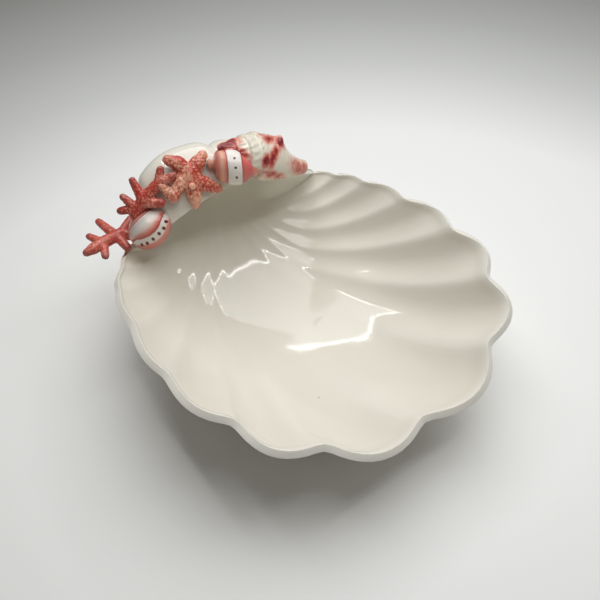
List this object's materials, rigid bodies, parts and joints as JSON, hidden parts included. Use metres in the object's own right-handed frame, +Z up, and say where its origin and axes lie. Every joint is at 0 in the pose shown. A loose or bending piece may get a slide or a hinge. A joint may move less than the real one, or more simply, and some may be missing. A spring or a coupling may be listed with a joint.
{
  "type": "shell bowl",
  "caption": "Glazed ceramic serving bowl shaped as an open scallop shell, with a domed hinge at the back that carries modelled sea shells, coral and a starfish.",
  "frame": {"origin": "centre of the round foot, on the surface that the bowl stands on", "axes": "+Z up, -Y towards the open front of the shell, +Y towards the domed hinge, +X to the right seen from the front"},
  "size_m": [0.3405, 0.3736, 0.1827],
  "materials": {
    "cream_glaze": "gloss",
    "red_speckled_glaze": "gloss",
    "deep_coral_glaze": "gloss",
    "pink_banded_glaze": "gloss",
    "coral_glaze": "gloss",
    "peach_banded_glaze": "gloss",
    "mottled_conch_glaze": "gloss"
  },
  "bodies": {
    "root": {"bowl": "cream_glaze", "starfish": "red_speckled_glaze", "coral_branch_inner": "deep_coral_glaze", "striped_cockle": "pink_banded_glaze", "coral_branch_outer": "coral_glaze", "striped_spindle_shell": "peach_banded_glaze", "conch_shell": "mottled_conch_glaze"}
  },
  "joints": []
}
